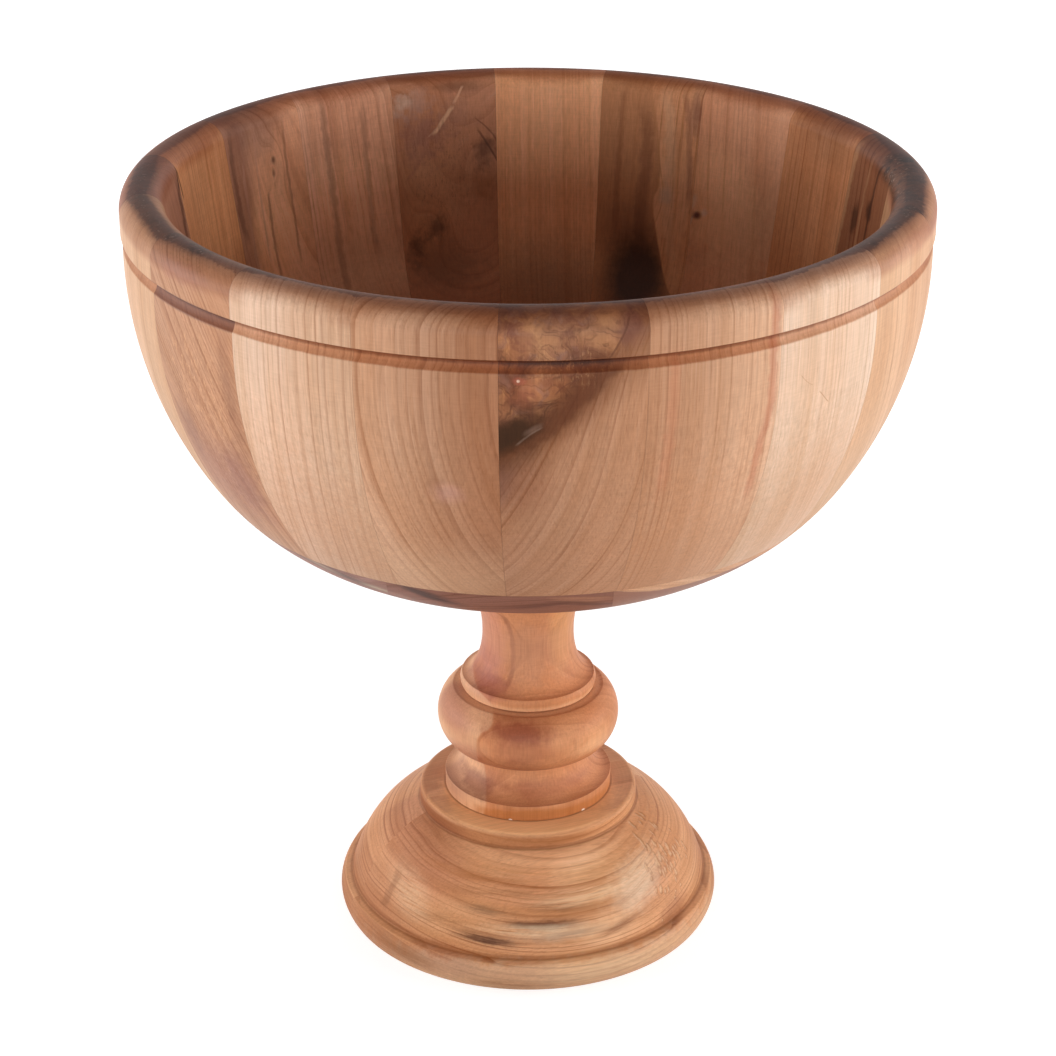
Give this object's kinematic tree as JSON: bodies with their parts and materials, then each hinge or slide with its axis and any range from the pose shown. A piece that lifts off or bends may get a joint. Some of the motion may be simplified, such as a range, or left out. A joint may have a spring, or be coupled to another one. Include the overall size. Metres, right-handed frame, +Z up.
{
  "type": "footed wooden bowl",
  "caption": "Wide round bowl of glued wooden staves with a rolled lip and a groove under it, on a turned stem with a knop and a domed round base.",
  "frame": {"origin": "centre of the base's flat underside, on the turning axis", "axes": "+Z up along the turning axis; -Y is the front, the side the picture is taken from; the staves and boards run round and across as listed in the report"},
  "size_m": [0.2999, 0.2998, 0.3088],
  "materials": {
    "pale_stave": "satin oiled",
    "brown_stave": "satin oiled",
    "figured_stave": "satin oiled",
    "bottom_board": "satin oiled",
    "stem": "satin polished",
    "base": "satin"
  },
  "bodies": {
    "root": {"stave_01": "figured_stave", "stave_02": "pale_stave", "stave_03": "pale_stave", "stave_04": "pale_stave", "stave_05": "pale_stave", "stave_06": "brown_stave", "stave_07": "pale_stave", "stave_08": "pale_stave", "stave_09": "brown_stave", "stave_10": "pale_stave", "stave_11": "brown_stave", "stave_12": "brown_stave", "stave_13": "brown_stave", "stave_14": "pale_stave", "stave_15": "pale_stave", "stave_16": "pale_stave", "stave_17": "brown_stave", "stave_18": "pale_stave", "stave_19": "pale_stave", "bottom_board_left": "bottom_board", "bottom_board_middle": "bottom_board", "bottom_board_right": "bottom_board", "stem": "stem", "base_board_front": "base", "base_board_back": "base"}
  },
  "joints": []
}
